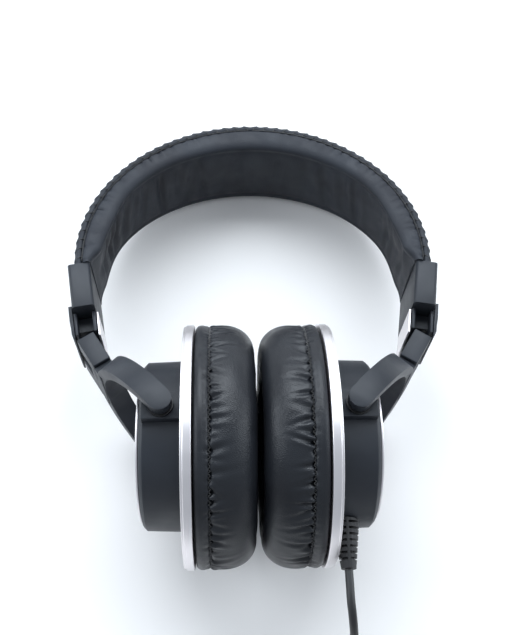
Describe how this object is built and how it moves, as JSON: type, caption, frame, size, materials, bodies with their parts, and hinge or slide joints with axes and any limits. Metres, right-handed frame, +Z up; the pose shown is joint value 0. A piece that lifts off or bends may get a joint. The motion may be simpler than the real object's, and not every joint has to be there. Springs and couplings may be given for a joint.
{
  "type": "over-ear headphones",
  "caption": "Over-ear headphones with a padded spring band, length sliders, fold hinges, swivelling yokes, tilting round cups with silver rings, soft ear pads and a cord.",
  "frame": {"origin": "on the table, under the middle of the headphones without their cord", "axes": "+X towards the wearer's left cup, from which the cord leaves; +Y towards the crown of the band; +Z up, through the front of the headphones, which lie on their back"},
  "size_m": [0.1926, 0.2821, 0.0914],
  "materials": {
    "band_leather": "black satin leatherette with a fine grain",
    "cushion_leather": "soft black satin leatherette, wrinkled round its seam",
    "body_plastic": "matte charcoal moulding with a fine texture",
    "silver_trim": "satin silver",
    "steel": "plain bright steel",
    "rubber": "black matte rubber",
    "cord_rubber": "smooth black sheath",
    "driver_film": "thin glossy film",
    "acoustic_fabric": "open black knit over the driver",
    "tie_fabric": "black woven strap",
    "plug_metal": "plated plug contacts"
  },
  "bodies": {
    "band_crown": {"band_cover_crown": "band_leather", "band_spring_crown": "steel", "headband_pad_crown": "band_leather"},
    "band_left": {"band_cover_left": "band_leather", "band_spring_left": "steel", "headband_pad_left": "band_leather", "end_block_left": "body_plastic"},
    "slider_left": {"slider_arm_left": "body_plastic", "slider_cover_left": "body_plastic", "slider_scale_left": "silver_trim", "hinge_pin_left": "steel"},
    "knuckle_left": {"knuckle_left": "body_plastic", "swivel_pin_left": "steel"},
    "yoke_left": {"yoke_left": "body_plastic", "pivot_pin_front_left": "steel", "pivot_pin_back_left": "steel"},
    "cup_left": {"cup_housing_left": "body_plastic", "end_disc_left": "silver_trim", "trim_ring_left": "silver_trim", "pivot_bush_front_left": "rubber", "pivot_bush_back_left": "rubber", "baffle_left": "body_plastic", "driver_frame_left": "body_plastic", "driver_magnet_left": "steel", "driver_diaphragm_left": "driver_film", "acoustic_cloth_left": "acoustic_fabric", "cushion_base_left": "cushion_leather", "ear_cushion_left": "cushion_leather", "strain_relief": "rubber", "cord_run": "cord_rubber", "cord_coil": "cord_rubber", "cable_tie": "tie_fabric", "plug_grip": "rubber", "plug_jack": "plug_metal"},
    "band_right": {"band_cover_right": "band_leather", "band_spring_right": "steel", "headband_pad_right": "band_leather", "end_block_right": "body_plastic"},
    "slider_right": {"slider_arm_right": "body_plastic", "slider_cover_right": "body_plastic", "slider_scale_right": "silver_trim", "hinge_pin_right": "steel"},
    "knuckle_right": {"knuckle_right": "body_plastic", "swivel_pin_right": "steel"},
    "yoke_right": {"yoke_right": "body_plastic", "pivot_pin_front_right": "steel", "pivot_pin_back_right": "steel"},
    "cup_right": {"cup_housing_right": "body_plastic", "end_disc_right": "silver_trim", "trim_ring_right": "silver_trim", "pivot_bush_front_right": "rubber", "pivot_bush_back_right": "rubber", "baffle_right": "body_plastic", "driver_frame_right": "body_plastic", "driver_magnet_right": "steel", "driver_diaphragm_right": "driver_film", "acoustic_cloth_right": "acoustic_fabric", "cushion_base_right": "cushion_leather", "ear_cushion_right": "cushion_leather"}
  },
  "joints": [
    {"name": "band_flex_left", "type": "hinge", "parent": "band_crown", "child": "band_left", "pos_m": [0.014, 0.08875, 0.01789], "axis": [0, 0.1994, 0.9799], "range_deg": [0, 28]},
    {"name": "slide_left", "type": "slide", "parent": "band_left", "child": "slider_left", "axis": [-0.1633, -0.9668, 0.1968], "range_m": [0, 0.02]},
    {"name": "fold_left", "type": "hinge", "parent": "slider_left", "child": "knuckle_left", "pos_m": [0.0638, -0.01194, 0.03838], "axis": [0, -0.1994, -0.9799], "range_deg": [0, 60]},
    {"name": "swivel_left", "type": "hinge", "parent": "knuckle_left", "child": "yoke_left", "pos_m": [0.05879, -0.01962, 0.03994], "axis": [0.5388, 0.8255, -0.168], "range_deg": [-12, 12]},
    {"name": "tilt_left", "type": "hinge", "parent": "yoke_left", "child": "cup_left", "pos_m": [0.0344, -0.04526, 0.04516], "axis": [0, 0.1994, 0.9799], "range_deg": [-12, 12]},
    {"name": "band_flex_right", "type": "hinge", "parent": "band_crown", "child": "band_right", "pos_m": [-0.014, 0.08875, 0.01789], "axis": [0, -0.1994, -0.9799], "range_deg": [0, 28]},
    {"name": "slide_right", "type": "slide", "parent": "band_right", "child": "slider_right", "axis": [0.1633, -0.9668, 0.1968], "range_m": [0, 0.02]},
    {"name": "fold_right", "type": "hinge", "parent": "slider_right", "child": "knuckle_right", "pos_m": [-0.0638, -0.01194, 0.03838], "axis": [0, 0.1994, 0.9799], "range_deg": [0, 60]},
    {"name": "swivel_right", "type": "hinge", "parent": "knuckle_right", "child": "yoke_right", "pos_m": [-0.05879, -0.01962, 0.03994], "axis": [-0.5388, 0.8255, -0.168], "range_deg": [-12, 12]},
    {"name": "tilt_right", "type": "hinge", "parent": "yoke_right", "child": "cup_right", "pos_m": [-0.0344, -0.04526, 0.04516], "axis": [0, 0.1994, 0.9799], "range_deg": [-12, 12]}
  ],
  "couplings": [
    {"joint": "band_flex_left", "follows": "fold_left", "ratio": 0.46},
    {"joint": "band_flex_right", "follows": "fold_right", "ratio": 0.46}
  ]
}
